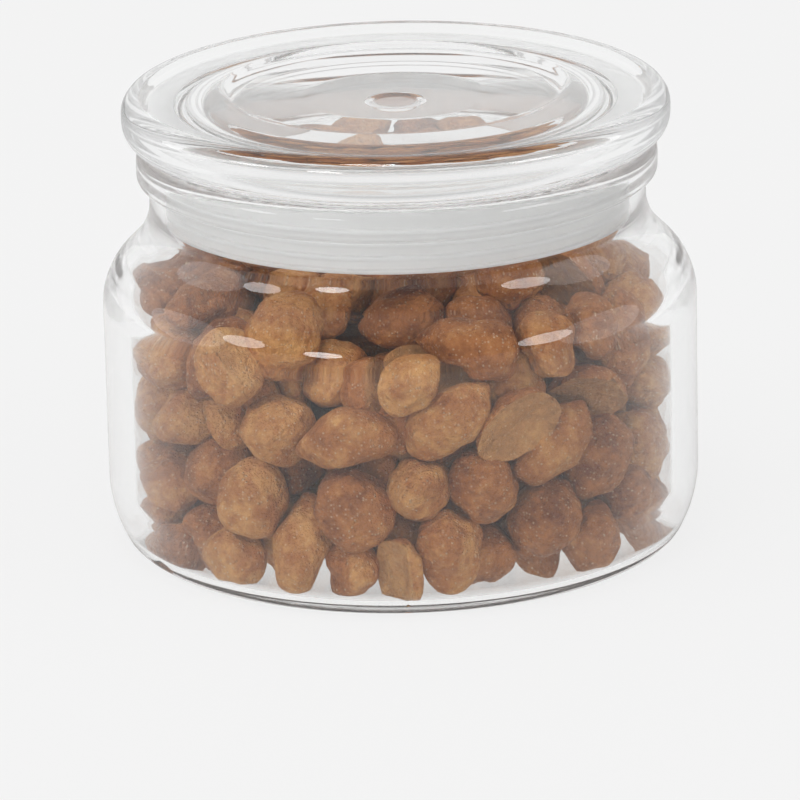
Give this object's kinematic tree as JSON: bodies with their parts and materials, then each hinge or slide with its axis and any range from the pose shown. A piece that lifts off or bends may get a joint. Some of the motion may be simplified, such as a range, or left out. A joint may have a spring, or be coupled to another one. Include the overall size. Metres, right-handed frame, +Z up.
{
  "type": "jar of honey roasted peanuts",
  "caption": "Squat clear glass jar with a beaded mouth, filled with sugar-crusted honey roasted peanuts and shut with a thick glass lid on a finned plastic seal.",
  "frame": {"origin": "middle of the flat on which the jar stands", "axes": "+Z up along the jar's axis; the jar, lid and seal are round about it"},
  "size_m": [0.094, 0.094, 0.0724],
  "materials": {
    "jar_glass": "clear pressed soda-lime glass, slightly hazy",
    "lid_glass": "clear pressed soda-lime glass",
    "seal_plastic": "milky translucent polyethylene",
    "nut_crust": "roasted peanut kernels under a dull, grainy crust of honey and sugar"
  },
  "bodies": {
    "root": {"jar": "jar_glass", "lid": "lid_glass", "seal": "seal_plastic", "peanuts": "nut_crust"}
  },
  "joints": []
}
